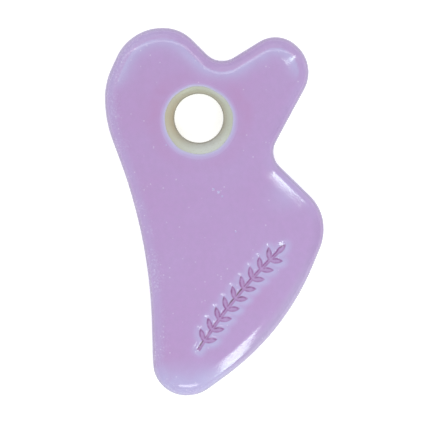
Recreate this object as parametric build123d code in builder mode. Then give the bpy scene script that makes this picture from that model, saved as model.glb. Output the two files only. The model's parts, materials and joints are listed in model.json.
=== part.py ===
from build123d import *
import os
from math import radians, tan

# Gua sha scraper: a flat slab of fired stoneware with a round finger hole, under one coat of glaze.
# The slab lies on its back at Z = 0, with its long axis along Y and its two lobes towards +Y.
# Its outline is centred on the Z axis. All sizes are in millimetres, and all angles in degrees.

# Overall size, over the glaze
LENGTH = 110.0
WIDTH = 65.3
THICKNESS = 8.5

# Rim and glaze
GLAZE = 0.5  # thickness of the glaze coat, the same on every face
RIM_FLAT = 0.5  # upright band left between the front and back roundings of the rim

# Corners of the outline before they are rounded: (in from a side, in from an end, corner radius)
CHEEK_LOW = (0.0, 27.5, 36.0)
CHEEK_HIGH = (0.0, 16.5, 20.5)
CROWN_LEFT = (7.5, 0.0, 15.0)
CROWN_RIGHT = (22.5, 0.0, 12.0)
VALLEY = (34.0, 11.5, 6.5)
LOBE_TOP = (13.5, 0.5, 9.0)
LOBE_SIDE = (2.0, 11.0, 10.5)
NOTCH = (16.5, 38.0, 6.0)
SHOULDER_HIGH = (0.0, 54.0, 13.5)
SHOULDER_LOW = (0.0, 63.0, 14.0)
BLADE = (11.5, 19.0, 77.0)
FOOT_RIGHT = (28.0, 0.0, 11.5)
FOOT_LEFT = (14.5, 0.0, 10.0)
FLANK = (13.0, 47.5, 151.0)
SIDE_STRAIGHT = 0.05  # shortest straight left between two rounded corners

# Finger hole, a bare clay ring in the glaze
HOLE_RADIUS = 7.25  # straight wall at the middle of the thickness
HOLE_LAND = 2.0  # height of that straight wall
HOLE_LEFT = 4.65  # from the middle of the width to the hole's axis
HOLE_DOWN = 26.9  # from the top end to the hole's axis
BARE_MARGIN = 0.3  # flat clay left bare between the rounded mouth and the glaze
LIP_FLAT = 0.2  # upright foot of the glaze's edge, under its rounded lip

# Leaf sprig pressed into the front, its stem rising to the right
SPRIG_LENGTH = 38.0  # stem, from foot to tip leaf
SPRIG_BOW = 1.2  # rise of the stem's gentle arc
SPRIG_RIGHT = 7.2  # from the middle of the width to the middle of the stem
SPRIG_UP = 29.0  # from the foot end to the middle of the stem
SPRIG_ANGLE = 51.0
STEM_WIDTH = 0.8
STEM_BARE = 3.0  # foot of the stem with no leaves
STEM_UNDER = 1.2  # end of the stem that lies inside the tip leaf
LEAF_PAIRS = 9
LEAF_LENGTH = 3.8
LEAF_WIDTH = 1.35
LEAF_SPREAD = 48.0  # angle between a side leaf and the stem
PRESS_DEPTH = 0.9  # into the clay
DIMPLE_DEPTH = 0.35  # left in the glaze, which fills the rest of the press

# Sizes that follow from those above
CLAY_THICKNESS = THICKNESS - 2 * GLAZE
CLAY_TOP = THICKNESS - GLAZE
RIM_RADIUS = (THICKNESS - RIM_FLAT) / 2
CLAY_RIM_RADIUS = RIM_RADIUS - GLAZE
HOLE_ROUND = (CLAY_THICKNESS - HOLE_LAND) / 2
BARE_RADIUS = HOLE_RADIUS + HOLE_ROUND + BARE_MARGIN
LIP_ROUND = GLAZE - LIP_FLAT
HOLE_CENTRE = (-HOLE_LEFT, LENGTH / 2 - HOLE_DOWN)
SPRIG_CENTRE = (SPRIG_RIGHT, SPRIG_UP - LENGTH / 2)


def corner(insets, side, end):
    """Place a corner by its insets from a side (-1 left, +1 right) and an end (+1 top, -1 foot)."""
    across, along, _ = insets
    return Vector(side * (WIDTH / 2 - across), end * (LENGTH / 2 - along))


def fitted_radii(points, radii):
    """Ease any corner radius whose arc would overrun the side it shares with the next corner."""
    count = len(points)
    reach = []
    for i in range(count):
        before = points[i] - points[i - 1]
        after = points[(i + 1) % count] - points[i]
        reach.append(radii[i] * tan(radians(before.get_angle(after)) / 2))
    ease = []
    for i in range(count):
        room = (points[i] - points[i - 1]).length - SIDE_STRAIGHT
        ease.append(min(1.0, room / (reach[i - 1] + reach[i])))
    return [radii[i] * min(ease[i], ease[(i + 1) % count]) for i in range(count)]


CORNERS = [
    (CHEEK_LOW, -1, 1),
    (CHEEK_HIGH, -1, 1),
    (CROWN_LEFT, -1, 1),
    (CROWN_RIGHT, -1, 1),
    (VALLEY, -1, 1),
    (LOBE_TOP, 1, 1),
    (LOBE_SIDE, 1, 1),
    (NOTCH, 1, 1),
    (SHOULDER_HIGH, 1, 1),
    (SHOULDER_LOW, 1, 1),
    (BLADE, 1, -1),
    (FOOT_RIGHT, -1, -1),
    (FOOT_LEFT, -1, -1),
    (FLANK, -1, -1),
]
corner_points = [corner(*row) for row in CORNERS]
corner_radii = fitted_radii(corner_points, [insets[2] for insets, _, _ in CORNERS])

# Outline over the glaze: two lobes, a side notch and a narrowing foot
with BuildSketch() as outline:
    with BuildLine():
        FilletPolyline(*corner_points, radius=corner_radii, close=True)
    make_face()

# One leaf, its stalk end at the origin
with BuildSketch() as leaf:
    with BuildLine():
        SagittaArc((0, 0), (LEAF_LENGTH, 0), LEAF_WIDTH / 2)
        SagittaArc((0, 0), (LEAF_LENGTH, 0), -LEAF_WIDTH / 2)
    make_face()

# The sprig: a bowed stem with pairs of leaves and one leaf at its tip, lying along X
with BuildLine() as stem:
    stem_arc = SagittaArc((-SPRIG_LENGTH / 2, 0), (SPRIG_LENGTH / 2, 0), SPRIG_BOW)
leaf_pitch = (SPRIG_LENGTH - STEM_BARE) / LEAF_PAIRS
with BuildSketch() as sprig:
    add(stem.line)
    trace(line_width=STEM_WIDTH)
    for pair in range(LEAF_PAIRS):
        along = (STEM_BARE + pair * leaf_pitch) / stem_arc.length
        heading = stem_arc.tangent_angle_at(along)
        for turn in (LEAF_SPREAD, -LEAF_SPREAD):
            with Locations(Location(stem_arc @ along, heading + turn)):
                add(leaf.sketch)
    tip = 1 - STEM_UNDER / stem_arc.length
    with Locations(Location(stem_arc @ tip, stem_arc.tangent_angle_at(tip))):
        add(leaf.sketch)
sprig_direction = Vector(1, 0, 0).rotate(Axis.Z, SPRIG_ANGLE)
sprig_plane = Plane(origin=(*SPRIG_CENTRE, 0), x_dir=sprig_direction, z_dir=(0, 0, 1))

# Stoneware slab with a rounded rim, a finger hole with rounded mouths and the pressed sprig
with BuildPart() as clay_body:
    with BuildSketch(Plane.XY.offset(GLAZE)):
        add(outline.sketch)
        offset(amount=-GLAZE)
    extrude(amount=CLAY_THICKNESS)
    fillet(clay_body.faces().filter_by(Axis.Z).edges(), radius=CLAY_RIM_RADIUS)
    with BuildSketch(Plane.XY.offset(GLAZE)):
        with Locations(HOLE_CENTRE):
            Circle(HOLE_RADIUS)
    extrude(amount=CLAY_THICKNESS, mode=Mode.SUBTRACT)
    hole_wall = clay_body.faces(Select.LAST).filter_by(GeomType.CYLINDER)
    fillet(hole_wall.edges().filter_by(GeomType.CIRCLE), radius=HOLE_ROUND)
    with BuildSketch(sprig_plane.offset(CLAY_TOP)):
        add(sprig.sketch)
    extrude(amount=-PRESS_DEPTH, mode=Mode.SUBTRACT)

# Fused glass coat over the front, back and rim, open round the finger hole on both faces
with BuildPart() as glaze_coat:
    with BuildSketch():
        add(outline.sketch)
    extrude(amount=THICKNESS)
    fillet(glaze_coat.faces().filter_by(Axis.Z).edges(), radius=RIM_RADIUS)
    with BuildSketch():
        with Locations(HOLE_CENTRE):
            Circle(BARE_RADIUS)
    extrude(amount=THICKNESS, mode=Mode.SUBTRACT)
    glaze_edge = glaze_coat.faces(Select.LAST).filter_by(GeomType.CYLINDER)
    fillet(glaze_edge.edges().filter_by(GeomType.CIRCLE), radius=LIP_ROUND)
    with BuildSketch(sprig_plane.offset(THICKNESS)):
        add(sprig.sketch)
    extrude(amount=-DIMPLE_DEPTH, mode=Mode.SUBTRACT)
    add(clay_body.part, mode=Mode.SUBTRACT)

os.makedirs("parts", exist_ok=True)
clay_body.part.label = "clay_body"
export_step(clay_body.part, "parts/clay_body.step")
glaze_coat.part.label = "glaze_coat"
export_step(glaze_coat.part, "parts/glaze_coat.step")
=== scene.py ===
import json
from math import atan2, cos, degrees, exp, hypot, pi, radians, sin, sqrt

import bpy
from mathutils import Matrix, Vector
from mathutils.bvhtree import BVHTree
from mathutils.kdtree import KDTree


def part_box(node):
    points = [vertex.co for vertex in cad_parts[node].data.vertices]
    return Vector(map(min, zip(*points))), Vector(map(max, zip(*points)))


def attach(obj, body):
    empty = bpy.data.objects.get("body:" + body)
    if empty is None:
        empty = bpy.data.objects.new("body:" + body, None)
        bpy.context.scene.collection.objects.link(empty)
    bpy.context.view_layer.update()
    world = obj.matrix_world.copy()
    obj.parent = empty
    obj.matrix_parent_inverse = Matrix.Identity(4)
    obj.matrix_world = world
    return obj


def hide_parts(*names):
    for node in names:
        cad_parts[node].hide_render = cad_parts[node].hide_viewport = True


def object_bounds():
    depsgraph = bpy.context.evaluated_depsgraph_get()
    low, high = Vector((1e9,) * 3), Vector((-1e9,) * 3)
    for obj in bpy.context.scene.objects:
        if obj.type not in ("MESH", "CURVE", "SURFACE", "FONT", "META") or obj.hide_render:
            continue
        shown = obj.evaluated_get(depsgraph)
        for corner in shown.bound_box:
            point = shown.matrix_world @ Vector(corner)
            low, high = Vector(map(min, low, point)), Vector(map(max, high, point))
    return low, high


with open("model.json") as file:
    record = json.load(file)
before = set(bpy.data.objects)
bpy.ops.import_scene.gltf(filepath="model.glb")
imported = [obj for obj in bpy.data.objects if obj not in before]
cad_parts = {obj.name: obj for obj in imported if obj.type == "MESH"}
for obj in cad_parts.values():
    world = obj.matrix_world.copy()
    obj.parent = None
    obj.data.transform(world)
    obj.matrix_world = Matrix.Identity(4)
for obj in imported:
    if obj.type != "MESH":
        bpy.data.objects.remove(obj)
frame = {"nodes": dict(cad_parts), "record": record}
CAD_LOW, CAD_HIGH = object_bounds()

# ---------------------------------------------------------------- sizes, in metres, from the frame
MM = 0.001
CLAY_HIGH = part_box("clay_body")[1]
TOP = CAD_HIGH.z
GLAZE = CAD_HIGH.z - CLAY_HIGH.z  # thickness of the coat
HOLE = next(m for m in frame["record"]["mounts"] if m["name"] == "grip_hole")
HOLE_X, HOLE_Y = HOLE["pos_m"][:2]
HOLE_RADIUS = HOLE["dims"]["r_mm"] * MM


def from_hole(point):
    """Distance from the finger hole's axis."""
    return hypot(point[0] - HOLE_X, point[1] - HOLE_Y)


def angle_at_hole(point):
    """Direction of a point from the finger hole's axis, in degrees, 0 along X and 90 along Y."""
    return degrees(atan2(point[1] - HOLE_Y, point[0] - HOLE_X))


GLAZE_LINE = min(from_hole(v.co) for v in frame["nodes"]["glaze_coat"].data.vertices)
FLAT = 0.9995  # a face whose normal's z is past this lies level
SIZES = {
    "mesh": 0.5 * MM,  # edge length of the remeshed slab
    "waist": 0.4 * MM,  # half height of the band round the middle of the rim that gives the outline
    "crown_from": 39 * MM,  # how far up the face the crown line begins
    "lip": 2.2 * MM,  # how far the glaze takes to thin out towards the bare ring
    "dip": 0.35 * MM,  # how far the moulding form dips under the clay inside the glaze line
    "dip_run": 0.4 * MM,  # how far inside the glaze line it reaches that dip
    "form_cut": 1.35 * MM,  # how far inside the CAD glaze line the form is cut open
    "hole_round": 2.75 * MM,  # radius of the clay's rounded edge at the finger hole
    "press_slope": 0.35 * MM,  # softened slope beside each pressed stroke
    "press_sink": 0.29 * MM,  # depth to which the glaze sinks beside a stroke
    "sink_width": 1.6 * MM,  # width of that sunk border
    "rim": 4.0 * MM,  # radius of the CAD rim's round, which is also its width seen from above
    "shoulder_radius": 14.0 * MM,  # gentler round that leads from the face into the rim
    "shoulder_width": 6.2 * MM,  # how far in from the outline that gentler round begins
    "back_shoulder": 0.3 * MM,  # how far in that round draws the back at most
    "blister": 0.12 * MM,  # depth of a burst blister
}
SURFACE_WAVES = [  # name, feature size and depth
    ("slow_wave", 14 * MM, 0.06 * MM),
    ("ripple", 4 * MM, 0.012 * MM),
]
# pin-sized blisters in the fired glass: place on the face and radius, in millimetres
BLISTERS = [(-0.3, 7.2, 0.5), (1.2, 6.3, 0.6), (2.3, 5.1, 0.45), (6.3, -5.4, 0.35), (-14.2, 20.4, 0.4)]


# ---------------------------------------------------------------- modelling helpers
def make_active(piece):
    """Deselect everything, then select this piece alone."""
    if bpy.context.object and bpy.context.object.mode != "OBJECT":
        bpy.ops.object.mode_set(mode="OBJECT")
    bpy.ops.object.select_all(action="DESELECT")
    bpy.context.view_layer.objects.active = piece
    piece.select_set(True)


def copy_of_node(node, name):
    """A piece of its own with a CAD node's mesh, its loose triangles merged."""
    mesh = frame["nodes"][node].data.copy()
    mesh.materials.clear()
    piece = bpy.data.objects.new(name, mesh)
    bpy.context.scene.collection.objects.link(piece)
    make_active(piece)
    bpy.ops.mesh.customdata_custom_splitnormals_clear()
    bpy.ops.object.mode_set(mode="EDIT")
    bpy.ops.mesh.select_all(action="SELECT")
    bpy.ops.mesh.remove_doubles(threshold=1e-6)
    bpy.ops.object.mode_set(mode="OBJECT")
    return piece


def select_faces(piece, test):
    """In edit mode, with only the faces that pass the test selected."""
    make_active(piece)
    bpy.ops.object.mode_set(mode="EDIT")
    bpy.ops.mesh.select_mode(type="FACE")
    bpy.ops.mesh.select_all(action="DESELECT")
    bpy.ops.object.mode_set(mode="OBJECT")
    for face in piece.data.polygons:
        face.select = test(face)
    bpy.ops.object.mode_set(mode="EDIT")


def apply_modifier(piece, kind, **settings):
    """Add a modifier with these settings and apply it."""
    make_active(piece)
    modifier = piece.modifiers.new(kind.lower(), kind)
    for key, value in settings.items():
        setattr(modifier, key, value)
    bpy.ops.object.modifier_apply(modifier=modifier.name)


def weight_group(piece, name, weight):
    """A vertex group whose weight at each vertex is weight(position), from 0 to 1."""
    group = piece.vertex_groups.new(name=name)
    for vertex in piece.data.vertices:
        value = weight(vertex.co)
        if value > 0:
            group.add([vertex.index], min(value, 1.0), "REPLACE")
    return name


def cloud(name, size):
    """Soft cloud texture with features of about this size."""
    texture = bpy.data.textures.new(name, "CLOUDS")
    texture.noise_scale = size
    texture.noise_depth = 0
    return texture


def point_tree(points):
    """A nearest-point search tree."""
    tree = KDTree(len(points))
    for i, point in enumerate(points):
        tree.insert(point, i)
    tree.balance()
    return tree


def level_distance(tree, point):
    """Distance, seen from above, from a point to the nearest point of a tree that lies at z = 0."""
    return tree.find((point[0], point[1], 0.0))[2]


def smoothstep(low, high, value):
    """0 below low, 1 above high, with a soft slope between."""
    t = max(0.0, min(1.0, (value - low) / (high - low)))
    return t * t * (3 - 2 * t)


def fade_out(low, high, value):
    """1 below low, 0 above high, with a soft slope between."""
    return 1 - smoothstep(low, high, value)


def bell(value, middle, width):
    """1 at the middle, falling off evenly on both sides, to about a third a width away."""
    return exp(-(((value - middle) / width) ** 2))


# ---------------------------------------------------------------- the glaze coat
def slab_form():
    """The plain outer form of the slab: the coat's rim, closed by flat faces, with no hole or sprig."""
    form = copy_of_node("glaze_coat", "slab_form")
    clay = frame["nodes"]["clay_body"].data
    clay_tree = BVHTree.FromPolygons([v.co for v in clay.vertices], [p.vertices for p in clay.polygons])

    def is_rim(face):
        """Whether a face belongs to the coat's outer rim."""
        outside = clay_tree.find_nearest(face.center)[3] > GLAZE / 2
        flat = abs(face.normal.z) > FLAT
        upright = abs(face.normal.z) < 0.05
        press_wall = upright and face.center.z > CLAY_HIGH.z
        lip = from_hole(face.center) < GLAZE_LINE + 2 * GLAZE
        return outside and not flat and not press_wall and not lip

    select_faces(form, lambda face: not is_rim(face))
    bpy.ops.mesh.delete(type="FACE")
    bpy.ops.mesh.select_all(action="SELECT")
    bpy.ops.mesh.fill_holes(sides=0)
    bpy.ops.object.mode_set(mode="OBJECT")
    return form


def sprig_floor():
    """Search trees of the flat floors of the sprig's strokes in the coat and of their borders, and
    the floors' depth."""
    mesh = frame["nodes"]["glaze_coat"].data
    floors = [
        face
        for face in mesh.polygons
        if face.normal.z > FLAT and CLAY_HIGH.z < face.center.z < TOP - 0.01 * MM
    ]
    depth = TOP - floors[0].center.z
    corners = [v.co for v in mesh.vertices]
    seen = {}
    for face in floors:
        for key in face.edge_keys:
            ends = tuple(sorted(tuple(round(c, 7) for c in corners[i]) for i in key))
            seen[ends] = seen.get(ends, 0) + 1
    border = []
    for (a, b), uses in sorted(seen.items()):
        if uses == 1:
            a, b = Vector(a), Vector(b)
            steps = max(1, round((b - a).length / (0.1 * MM)))
            border += [a.lerp(b, i / steps) for i in range(steps + 1)]
    return BVHTree.FromPolygons(corners, [f.vertices for f in floors]), point_tree(border), depth


SPRIG_TREE, SPRIG_BORDER, SPRIG_DEPTH = sprig_floor()


def from_stroke(point):
    """Level distance from the nearest pressed stroke of the sprig (front only), negative inside it."""
    if point[2] < TOP / 2:
        return 1.0
    level = Vector((point[0], point[1], TOP - SPRIG_DEPTH))
    outside = SPRIG_TREE.find_nearest(level)[3]
    return outside if outside > 1e-6 else -SPRIG_BORDER.find(level)[2]


def stroke_side(point):
    """1 on the upper left flank of a pressed stroke, -1 on its lower right flank, 0 at its ends."""
    step = Vector((-0.12 * MM, 0.16 * MM, 0))
    return max(-1.0, min(1.0, (from_stroke(point + step) - from_stroke(point - step)) / (2 * step.length)))


def refine(piece, test, cuts=1):
    """Divide the faces that pass the test."""
    select_faces(piece, test)
    bpy.ops.mesh.subdivide(number_cuts=cuts)
    bpy.ops.object.mode_set(mode="OBJECT")


def shoulder_drop(inset):
    """How far the gentle shoulder lies under the CAD rim's round, at this distance in from the outline."""
    radius, run = SIZES["shoulder_radius"], SIZES["shoulder_width"] - inset
    if run <= 0:
        return 0.0
    gentle = radius - sqrt(radius**2 - run**2)
    rim_run = max(0.0, SIZES["rim"] - inset)
    round_drop = SIZES["rim"] - sqrt(SIZES["rim"] ** 2 - rim_run**2)
    return max(0.0, gentle - round_drop)


def from_glaze_line(point):
    """Distance outwards from the wiped edge of the glaze, which wanders round the finger hole."""
    angle = angle_at_hole(point)
    off_centre = -0.45 * MM * sin(radians(angle))
    smear = -0.3 * MM * bell(angle, 62, 22) - 0.12 * MM * bell(angle, -150, 18)
    wander = 0.05 * MM * sin(radians(5 * angle + 40)) + 0.03 * MM * sin(radians(11 * angle))
    return from_hole(point) - (GLAZE_LINE - 0.22 * MM + off_centre + smear + wander)


def lip_drop(point):
    """How far the surface is drawn in near the finger hole."""
    reach = from_glaze_line(point)
    if reach > SIZES["lip"]:
        return 0.0
    share = 1 - reach / SIZES["lip"]
    if reach > 0:
        thickness = GLAZE * sqrt(1 - share * share)
    else:
        thickness = SIZES["dip"] * max(-1.0, reach / SIZES["dip_run"])
    run = max(0.0, HOLE_RADIUS + SIZES["hole_round"] - from_hole(point))
    clay_fall = SIZES["hole_round"] - sqrt(max(0.0, SIZES["hole_round"] ** 2 - run**2))
    return GLAZE - thickness + clay_fall


def draw_in(piece, name, depth_at, **settings):
    """Push each vertex in by depth_at(position), with a weighted Displace modifier."""
    deepest = max(depth_at(v.co) for v in piece.data.vertices)
    group = weight_group(piece, name, lambda p: depth_at(p) / deepest)
    apply_modifier(piece, "DISPLACE", strength=-deepest, mid_level=0.0, vertex_group=group, **settings)


def blister_dent(point):
    """Depth of the little craters that burst blisters leave in the front."""
    depth = 0.0
    if point[2] > TOP / 2:
        for x, y, radius in BLISTERS:
            share = hypot(point[0] - x * MM, point[1] - y * MM) / (radius * MM)
            depth = max(depth, SIZES["blister"] * fade_out(0.2, 1.0, share))
    return depth


def near_blister(point):
    """Whether a point of the front lies in or just round a blister."""
    if point[2] <= TOP / 2:
        return False
    return any(hypot(point[0] - x * MM, point[1] - y * MM) < 1.5 * r * MM for x, y, r in BLISTERS)


def glaze_piece():
    """The fused coat as a closed form, still without its finger hole, with search trees of its outline
    and of the part of the outline that faces the lobed end."""
    form = slab_form()
    glaze = bpy.data.objects.new("lilac_glaze_coat", form.data.copy())
    bpy.context.scene.collection.objects.link(glaze)
    apply_modifier(glaze, "REMESH", mode="VOXEL", voxel_size=SIZES["mesh"], use_smooth_shade=True)
    apply_modifier(glaze, "SHRINKWRAP", target=form, wrap_method="NEAREST_SURFACEPOINT")
    bpy.data.objects.remove(form)
    waist = [v for v in glaze.data.vertices if abs(v.co.z - TOP / 2) < SIZES["waist"]]
    outline = point_tree([(v.co.x, v.co.y, 0.0) for v in waist])
    crown_end = [v for v in waist if v.normal.y > 0.3 and v.co.y > SIZES["crown_from"]]
    crown = point_tree([(v.co.x, v.co.y, 0.0) for v in crown_end])

    def front_shoulder(point):
        """Drop of the front face into the gentle shoulder."""
        return shoulder_drop(level_distance(outline, point)) if point.z > TOP / 2 else 0.0

    def back_shoulder(point):
        """Rise of the back face into the same shoulder, as a share of its deepest drop."""
        rise = shoulder_drop(level_distance(outline, point)) if point.z < TOP / 2 else 0.0
        return rise / SIZES["back_shoulder"]

    draw_in(glaze, "front_shoulder", front_shoulder, direction="Z")
    back = weight_group(glaze, "back_shoulder", back_shoulder)
    apply_modifier(
        glaze, "DISPLACE", direction="Z", strength=SIZES["back_shoulder"], mid_level=0.0, vertex_group=back
    )
    apply_modifier(glaze, "SMOOTH", factor=0.5, iterations=8)
    refine(glaze, lambda face: from_stroke(face.center) < 1.3 * MM)
    refine(glaze, lambda face: from_stroke(face.center) < 0.8 * MM)
    refine(glaze, lambda face: -1.3 * MM < from_glaze_line(face.center) < 1.6 * MM)
    refine(glaze, lambda face: near_blister(face.center), cuts=3)
    for name, size, depth in SURFACE_WAVES:
        waves = {"texture": cloud(name, size), "texture_coords": "LOCAL"}
        apply_modifier(glaze, "DISPLACE", strength=depth, mid_level=1.0, **waves)

    def press(point):
        """Depth of the stamped strokes, with a softened slope and a sunk border beside them."""
        stroke = from_stroke(point)
        sunk = SIZES["press_sink"] * fade_out(0.1 * MM, SIZES["sink_width"], stroke)
        return max(sunk, SPRIG_DEPTH * fade_out(-0.05 * MM, SIZES["press_slope"], stroke))

    draw_in(glaze, "pressed", press, direction="Z")
    draw_in(glaze, "blistered", blister_dent, direction="Z")
    draw_in(glaze, "drawn_in", lip_drop)
    return glaze, outline, crown


def cut_with(piece, cutter):
    """Cut the cutter's volume out of the piece, and remove the cutter."""
    apply_modifier(piece, "BOOLEAN", operation="DIFFERENCE", object=cutter, solver="EXACT")
    bpy.data.objects.remove(cutter)


def paint(piece, painted):
    """Store each list of numbers, one for each vertex, under its name, for the material to read."""
    for name, values in painted.items():
        attribute = piece.data.attributes.new(name, "FLOAT", "POINT")
        attribute.data.foreach_set("value", values)


# The marks below are shares from 0 to 1, and their places and distances are in millimetres on the face.
GLAZE_MARKS = ("thin_glass_and_highlight", "sheer", "dry", "pooled_and_flank_shade", "stroke_shadow", "blush", "rim_shade", "bubbly")
# soft pink patches: place on the face, radius and strength
BLUSHES = [(-18, 33, 9, 0.45), (9, 33, 7, 0.3), (12, -24, 7, 0.35), (-14, -44, 6, 0.35), (-22, 8, 6, 0.3)]


def patch(p, x, y, radius):
    """A soft round patch on the face, 1 at its middle."""
    return bell(p.x, x, radius) * bell(p.y, y, radius)


def rim_marks(p, inset, below_crown):
    """Marks that follow the outline: pale thinner glass along the edges; the crown line, thinner glass with
    a painted highlight on it and a painted glow below it; the foot, paler with thinner glass and a painted
    highlight; painted sheens beside the notch and on the shoulder; painted shade along the right edges,
    under the rim and round the outline; and bubbles down the left side. The pale band along the edges is
    also given by itself, because no blush shows through it."""
    lobed_end = smoothstep(21, 37, p.y)
    foot_end = fade_out(-50, -42, p.y)
    left = fade_out(-16, 0, p.x + 0.12 * p.y)
    right_side = fade_out(-8, 4, p.y) + smoothstep(18, 28, p.y)
    height = p.z * MM / TOP
    band = (0.02 + 0.2 * lobed_end + 0.28 * left) * fade_out(1.5, 4.5, inset)
    # painted glow below the crown line
    glow = fade_out(3.4, 9.5, below_crown)
    # the crown line: thinner glass with a painted highlight along it
    crown_line = smoothstep(2.9, 3.4, inset) * smoothstep(34, 42, p.y) * (0.38 * glow + 0.5 * glow**4)
    # the foot: thinner glass with a painted highlight on the tip
    foot = foot_end * (0.9 - 0.3 * smoothstep(2, 8, inset))
    # painted sheens beside the notch and on the shoulder
    notch_sheen = 0.5 * fade_out(2, 5, inset) * patch(p, 23, 9, 9)
    shoulder_sheen = 0.45 * patch(p, 20.5, 5.5, 4.5)
    blade = fade_out(-26, -8, p.y) * (1 - left) * fade_out(1, 4.5, inset)
    # painted shade: the right-hand edges darker
    shaded = 0.2 * right_side * (1 - left) * (1 - foot_end) * (1 - 0.8 * lobed_end)
    # painted shade under the rim, darker towards the table
    under = 0.5 * fade_out(0.15, 0.5, height) * fade_out(2.5, 6, inset)
    return {
        "band": band,
        # thinner glass, with painted highlights on the crown line and foot, a painted glow and painted
        # sheens
        "thin_glass_and_highlight": max(band, crown_line, foot, notch_sheen, shoulder_sheen),
        "sheer": 0.38 * blade,
        # painted shade along the right edges, under the rim and as a grey line round the outline
        "rim_shade": max(shaded * fade_out(0.8, 4.5, inset), under, 0.7 * fade_out(0.1, 1.3, inset)),
        "bubbly": max(0.1, smoothstep(0.55, 0.8, height) * left * fade_out(1, 6.5, inset)),
    }


def press_marks(stroke, flank):
    """Marks that follow the pressed sprig: a pale halo round each stroke, made paler on the lower right
    flank by painted light; glass that pools deep at the foot of its walls, with painted shade making it
    darkest on their upper left flank; and painted shadow in dark spots along that flank."""
    # painted light: the halo paler on the lower right flank, fainter on the upper left
    halo = (0.72 - 0.2 * flank) * fade_out(0.4, 2.7, stroke) * smoothstep(0.0, 0.3, stroke)
    foot_of_wall = fade_out(0.08, 0.42, abs(stroke + 0.08))
    floor = 0.25 if stroke < -0.15 else 0.0
    return {
        "thin_glass_and_highlight": halo,
        # painted shade: the pooling colour deepest on the upper left flank
        "pooled_and_flank_shade": max((0.78 + 0.22 * flank) * foot_of_wall, floor),
        # painted shadow: dark spots along the upper left flank
        "stroke_shadow": foot_of_wall * max(0.0, flank) ** 4,
    }


def ring_marks(angle, out):
    """Marks that follow the glaze's edge at the finger hole, by direction and distance out from it:
    the glass is thin, sheer and dry there, over a longer run below the hole, and blushes further out."""
    run = 1.75 - 0.55 * sin(angle)
    blush_ring = fade_out(0, 3.6, abs(out - 3.8))
    return {
        "thin_glass_and_highlight": 0.95 * fade_out(0.1, run, out),
        "sheer": 0.9 * fade_out(0.05, 0.7, out),
        "dry": fade_out(0.6, 2.4, out),
        "blush": 0.5 * blush_ring * (0.35 + 0.65 * abs(cos(angle))),
    }


def paint_glaze(glaze, outline, crown):
    """Where the glass runs thinner, sheer and dry, pools deep in the press, blushes and traps bubbles, and
    where its colour carries painted highlights, sheens and glow, and painted shade on the rim and in the
    strokes.
    Each vertex takes the strongest of its marks."""
    painted = {name: [] for name in GLAZE_MARKS}
    for vertex in glaze.data.vertices:
        place = vertex.co
        p = place / MM
        stroke = from_stroke(place) / MM
        rim = rim_marks(p, level_distance(outline, place) / MM, level_distance(crown, place) / MM)
        press = press_marks(stroke, stroke_side(place) if abs(stroke) < 3 else 0.0)
        ring = ring_marks(radians(angle_at_hole(place)), from_glaze_line(place) / MM)
        blister = {"thin_glass_and_highlight": min(1.0, 10 * blister_dent(place) / MM)}
        patches = sum(strength * patch(p, x, y, radius) for x, y, radius, strength in BLUSHES)
        pinkest = min(1.0, ring["blush"] + patches)
        ring["blush"] = pinkest * (1 - ring["thin_glass_and_highlight"]) * (1 - rim["band"])
        for name in GLAZE_MARKS:
            painted[name].append(max(marks.get(name, 0.0) for marks in (rim, press, ring, blister)))
    paint(glaze, painted)


def cut_coat(glaze):
    """Open the finger hole and hollow the form round the clay, so that only the coat is left."""
    radius = GLAZE_LINE - SIZES["form_cut"]
    middle = (HOLE_X, HOLE_Y, TOP / 2)
    bpy.ops.mesh.primitive_cylinder_add(vertices=96, radius=radius, depth=2 * TOP, location=middle)
    cut_with(glaze, bpy.context.object)
    cut_with(glaze, copy_of_node("clay_body", "clay_cutter"))
    make_active(glaze)
    bpy.ops.object.shade_smooth_by_angle(angle=radians(50))


# ---------------------------------------------------------------- the clay
CLAY_MARKS = ("warm", "pale", "shadowed")


def paint_clay(clay):
    """Where the clay is warm, pale or shadowed, by direction and distance out from the finger hole, with
    painted light on the lower side of the hole's wall.
    """
    painted = {name: [] for name in CLAY_MARKS}
    for vertex in clay.data.vertices:
        out = (from_hole(vertex.co) - HOLE_RADIUS) / MM
        angle = angle_at_hole(vertex.co)
        smear = 0.7 * bell(angle, 52, 20) * smoothstep(0.9, 2, out)
        painted["warm"].append(0.35 * fade_out(0, 2.2, out) + 0.65 * bell(abs(angle), 180, 55))
        # pale: the glaze smear, and painted light on the lower side of the hole's wall
        painted["pale"].append(max(smear, 0.85 * bell(angle, -75, 50)))
        painted["shadowed"].append(fade_out(0.1, 0.55, out))
    paint(clay, painted)


def clay_piece():
    """The stoneware slab, with a finer, slightly uneven wall and ring at the finger hole."""
    clay = copy_of_node("clay_body", "stoneware_slab")
    refine(clay, lambda face: from_hole(face.center) < GLAZE_LINE + 1.5 * MM)
    edge = GLAZE_LINE + 0.2 * MM
    ring = weight_group(clay, "ring", lambda point: fade_out(edge, edge + 1 * MM, from_hole(point)))
    apply_modifier(
        clay,
        "DISPLACE",
        texture=cloud("hand_worked", 5 * MM),
        texture_coords="LOCAL",
        strength=0.06 * MM,
        mid_level=1.0,
        vertex_group=ring,
    )
    paint_clay(clay)
    make_active(clay)
    bpy.ops.object.shade_smooth_by_angle(angle=radians(35))
    return clay


# ---------------------------------------------------------------- materials
def linear(colour):
    """An sRGB hex colour, such as "#bda2d1", as linear red, green, blue and alpha."""
    parts = [int(colour[i : i + 2], 16) / 255 for i in (1, 3, 5)]
    return [c / 12.92 if c <= 0.04045 else ((c + 0.055) / 1.055) ** 2.4 for c in parts] + [1.0]


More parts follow.
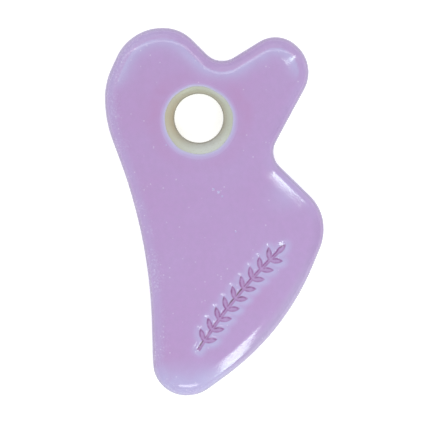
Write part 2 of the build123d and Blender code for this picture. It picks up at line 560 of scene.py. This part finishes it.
def add(tree, kind, inputs=None, **settings):
    """Add a node with its settings, and feed its inputs, by socket name or number, with values or with
    other nodes' output sockets."""
    node = tree.nodes.new(kind)
    for key, value in settings.items():
        setattr(node, key, value)
    for key, value in (inputs or {}).items():
        if isinstance(value, bpy.types.NodeSocket):
            tree.links.new(value, node.inputs[key])
        else:
            node.inputs[key].default_value = value
    return node


def new_material(name):
    """An empty node material and its tree."""
    material = bpy.data.materials.new(name)
    material.use_nodes = True
    material.node_tree.nodes.clear()
    return material, material.node_tree


def patches(tree, place, size, detail, low, high, least, most):
    """Soft patches of about this size: noise whose values from low to high stand for least to most."""
    noise = add(tree, "ShaderNodeTexNoise", {"Vector": place, "Scale": 1 / size, "Detail": detail})
    span = {"From Min": low, "From Max": high, "To Min": least, "To Max": most}
    return add(tree, "ShaderNodeMapRange", {"Value": noise.outputs["Fac"], **span}).outputs["Result"]


def where_marked(tree, mark, share):
    """A share, kept where the piece is painted with this mark."""
    painted = add(tree, "ShaderNodeAttribute", attribute_name=mark).outputs["Fac"]
    return add(tree, "ShaderNodeMath", {0: painted, 1: share}, operation="MULTIPLY").outputs["Value"]


def lay_over(tree, place, ground, layers):
    """Lay tints over a ground colour, one after another. Each layer has its tint, its strongest share,
    the painted mark it keeps to or None, and None or its patches: the size, detail, low and high of
    their noise, and their weakest share."""
    colour = linear(ground)
    for tint, most, mark, patchy in layers:
        share = patches(tree, place, *patchy, most) if patchy else most
        if mark:
            share = where_marked(tree, mark, share)
        ends = {"A": colour, "B": linear(tint)}
        colour = add(tree, "ShaderNodeMix", {"Factor": share, **ends}, data_type="RGBA").outputs["Result"]
    return colour


GLAZE_GROUND = "#c09bd2"
GLAZE_LAYERS = [
    ("#c09fd5", 1.0, None, (16 * MM, 2.0, 0.3, 0.7, 0.0)),
    ("#b79acb", 0.35, None, (1.6 * MM, 2.0, 0.35, 0.65, 0.0)),
    ("#bf94c8", 1.0, "blush", (5 * MM, 2.0, 0.35, 0.6, 0.45)),
    # thinner glass, and the painted highlights, glow and sheens
    ("#c1b9e6", 1.0, "thin_glass_and_highlight", (3.5 * MM, 2.0, 0.25, 0.6, 0.7)),
    ("#d0cae9", 1.0, "sheer", None),
    # glass pooling in the strokes, with painted shade on their upper left flanks
    ("#8f4f90", 1.0, "pooled_and_flank_shade", (1.1 * MM, 2.0, 0.3, 0.65, 0.4)),
    # painted shadow on the strokes' upper left flanks
    ("#5d474f", 0.8, "stroke_shadow", (4.5 * MM, 2.0, 0.46, 0.6, 0.0)),
    # painted shade over the rim and round the outline
    ("#82779a", 0.88, "rim_shade", None),
]
CLAY_GROUND = "#bec0b0"
CLAY_LAYERS = [
    ("#c5c7ba", 1.0, None, (5 * MM, 3.0, 0.3, 0.7, 0.0)),
    ("#c4b398", 1.0, "warm", None),
    # pale: glaze smear, and painted light on the lower side of the hole's wall
    ("#cfd1ce", 1.0, "pale", None),
    ("#b3ac98", 0.3, None, (0.5 * MM, 2.0, 0.58, 0.68, 0.0)),
    ("#72684f", 0.8, "shadowed", None),
]


def trapped_bubbles(tree, place, colour):
    """Lay small bubbles caught in the glass over a colour, in loose clusters: a fine pale frost, and
    single specks."""
    clustered = where_marked(tree, "bubbly", patches(tree, place, 6 * MM, 2.0, 0.4, 0.62, 0.25, 1.2))
    frost = patches(tree, place, 0.5 * MM, 3.0, 0.48, 0.66, 0.0, 0.4)
    frosted = add(tree, "ShaderNodeMath", {0: frost, 1: clustered}, operation="MULTIPLY").outputs["Value"]
    ends = {"A": colour, "B": linear("#d8cff2")}
    colour = add(tree, "ShaderNodeMix", {"Factor": frosted, **ends}, data_type="RGBA").outputs["Result"]

    cells = add(tree, "ShaderNodeTexVoronoi", {"Vector": place, "Scale": 1 / (0.95 * MM)})
    span = {"From Min": 0.3, "From Max": 0.1, "To Max": 0.5}
    speck = add(tree, "ShaderNodeMapRange", {"Value": cells.outputs["Distance"], **span}).outputs["Result"]
    pick = add(tree, "ShaderNodeSeparateColor", {"Color": cells.outputs["Color"]}).outputs["Red"]
    crowd = add(tree, "ShaderNodeMath", {0: clustered, 1: 0.55}, operation="MULTIPLY").outputs["Value"]
    chosen = add(tree, "ShaderNodeMath", {0: pick, 1: crowd}, operation="LESS_THAN").outputs["Value"]
    bubble = add(tree, "ShaderNodeMath", {0: speck, 1: chosen}, operation="MULTIPLY").outputs["Value"]
    ends = {"A": colour, "B": linear("#e6def4")}
    return add(tree, "ShaderNodeMix", {"Factor": bubble, **ends}, data_type="RGBA").outputs["Result"]


def lilac_glaze():
    """Milky lilac glaze over pale clay: it looks soft and deep, blue where it runs thinner and pink where
    it pools, and mirrors the windows sharply except on its dry lip at the finger hole. Its colour also
    carries painted highlights, glow and sheens, and painted shade on the rim and in the sprig's strokes."""
    material, tree = new_material("glazed_stoneware_lilac")
    place = add(tree, "ShaderNodeTexCoord").outputs["Object"]
    colour = trapped_bubbles(tree, place, lay_over(tree, place, GLAZE_GROUND, GLAZE_LAYERS))
    dry = add(tree, "ShaderNodeAttribute", attribute_name="dry").outputs["Fac"]
    span = {"To Min": 0.1, "To Max": 0.5}
    rough = add(tree, "ShaderNodeMapRange", {"Value": dry, **span}).outputs["Result"]
    looks = {"Base Color": colour, "Roughness": rough, "IOR": 1.54}
    shader = add(tree, "ShaderNodeBsdfPrincipled", looks)
    add(tree, "ShaderNodeOutputMaterial", {"Surface": shader.outputs["BSDF"]})
    return material


def bare_stoneware():
    """Fired cream stoneware, sponged smooth before firing: satin, with a faint warm and green drift."""
    material, tree = new_material("bare_stoneware")
    place = add(tree, "ShaderNodeTexCoord").outputs["Object"]
    colour = lay_over(tree, place, CLAY_GROUND, CLAY_LAYERS)
    shader = add(tree, "ShaderNodeBsdfPrincipled", {"Base Color": colour, "Roughness": 0.35})
    add(tree, "ShaderNodeOutputMaterial", {"Surface": shader.outputs["BSDF"]})
    return material


# ---------------------------------------------------------------- the studio
ROOM_LIGHT = 0.645  # strength of the white surroundings
TABLE_GLOW = 0.5  # strength of the table's own glow
DAYLIGHT = "#e6fff4"  # the cool, slightly green white of the softboxes on the right


def floor_piece():
    """A plain white table that glows a little, like lit acrylic, so that it stays white round the piece."""
    bpy.ops.mesh.primitive_plane_add(size=6.0, location=(0, 0, 0))
    floor = bpy.context.object
    floor.name = "white_table"
    material, tree = new_material("white_acrylic")
    looks = {"Base Color": linear("#f4f4f4"), "Roughness": 0.9}
    glow = {"Emission Color": (1, 1, 1, 1), "Emission Strength": TABLE_GLOW}
    shader = add(tree, "ShaderNodeBsdfPrincipled", {**looks, **glow})
    add(tree, "ShaderNodeOutputMaterial", {"Surface": shader.outputs["BSDF"]})
    floor.data.materials.append(material)


VIEW_TIP = radians(4.0)  # the camera leans this far towards the lobed end
TO_CAMERA = Vector((0, sin(VIEW_TIP), cos(VIEW_TIP)))


def softbox(name, seen_at, azimuth, tilt, width, height, radiance, distance=0.3, tint="#ffffff"):
    """A soft light that the glaze mirrors to the camera at one spot, given in millimetres, where
    the surface leans by this tilt towards this azimuth, both in degrees. Its sizes and distance are
    in metres."""
    spot = Vector((seen_at[0] * MM, seen_at[1] * MM, TOP))
    level = sin(radians(tilt))
    lean = Vector((level * cos(radians(azimuth)), level * sin(radians(azimuth)), cos(radians(tilt))))
    direction = 2 * lean.dot(TO_CAMERA) * lean - TO_CAMERA
    data = bpy.data.lights.new(name, "AREA")
    data.shape = "RECTANGLE"
    data.size = width
    data.size_y = height
    data.energy = radiance * pi * width * height
    data.color = linear(tint)[:3]
    data.diffuse_factor = 0.25  # it is there for its mirror image; the white room lights the rest
    lamp = bpy.data.objects.new(name, data)
    lamp.location = spot + direction * distance
    lamp.rotation_euler = (-direction).to_track_quat("-Z", "Y").to_euler()
    lamp.visible_camera = False
    bpy.context.scene.collection.objects.link(lamp)


def studio():
    """Soft white surroundings, two small softboxes on the right, each with a dimmer skirt, a strip over
    the crown line and one over the foot, and a broad panel over the lobed end."""
    world = bpy.data.worlds.new("white_room")
    bpy.context.scene.world = world
    world.use_nodes = True
    world.node_tree.nodes["Background"].inputs["Color"].default_value = (1, 1, 1, 1)
    world.node_tree.nodes["Background"].inputs["Strength"].default_value = ROOM_LIGHT
    softbox("upper_right_softbox", (24.2, 5.8), 46.5, 14.5, 0.019, 0.15, 17.0, distance=0.6, tint=DAYLIGHT)
    softbox("upper_right_skirt", (22.3, 5.8), 49, 7.0, 0.036, 0.28, 7.5, distance=1.2, tint=DAYLIGHT)
    softbox("lower_right_softbox", (7.1, -42.7), -52.5, 15.5, 0.032, 0.175, 11.5, tint=DAYLIGHT)
    softbox("lower_right_skirt", (6.1, -41.5), -54, 7.0, 0.028, 0.03, 3.5, tint=DAYLIGHT)
    softbox("top_strip", (-2, 45), 90, 12.0, 0.5, 0.016, 2.6)
    softbox("foot_strip", (-6, -51), -90, 14.0, 0.1, 0.025, 6.0)
    softbox("overhead_panel", (-5, 20), 120, 18, 1.2, 0.6, 0.55, distance=1.2)
    bpy.context.scene.view_settings.view_transform = "Standard"


def camera():
    """Nearly straight down on the front, tipped a little towards the lobed end."""
    data = bpy.data.cameras.new("camera")
    data.lens = 230
    frame_width = 128.2 * MM  # what the square frame takes in at the slab
    distance = data.lens / data.sensor_width * frame_width
    aim = Vector((0.15 * MM, -0.75 * MM, TOP / 2))
    eye = bpy.data.objects.new("camera", data)
    eye.location = aim + TO_CAMERA * distance
    eye.rotation_euler = (-VIEW_TIP, 0, 0)
    bpy.context.scene.collection.objects.link(eye)
    bpy.context.scene.camera = eye


# ---------------------------------------------------------------- put together
glaze, outline, crown = glaze_piece()
cut_coat(glaze)
paint_glaze(glaze, outline, crown)
glaze.data.materials.clear()
glaze.data.materials.append(lilac_glaze())
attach(glaze, "root")
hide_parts("glaze_coat")

clay = clay_piece()
clay.data.materials.append(bare_stoneware())
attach(clay, "root")
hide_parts("clay_body")

floor_piece()
studio()
camera()
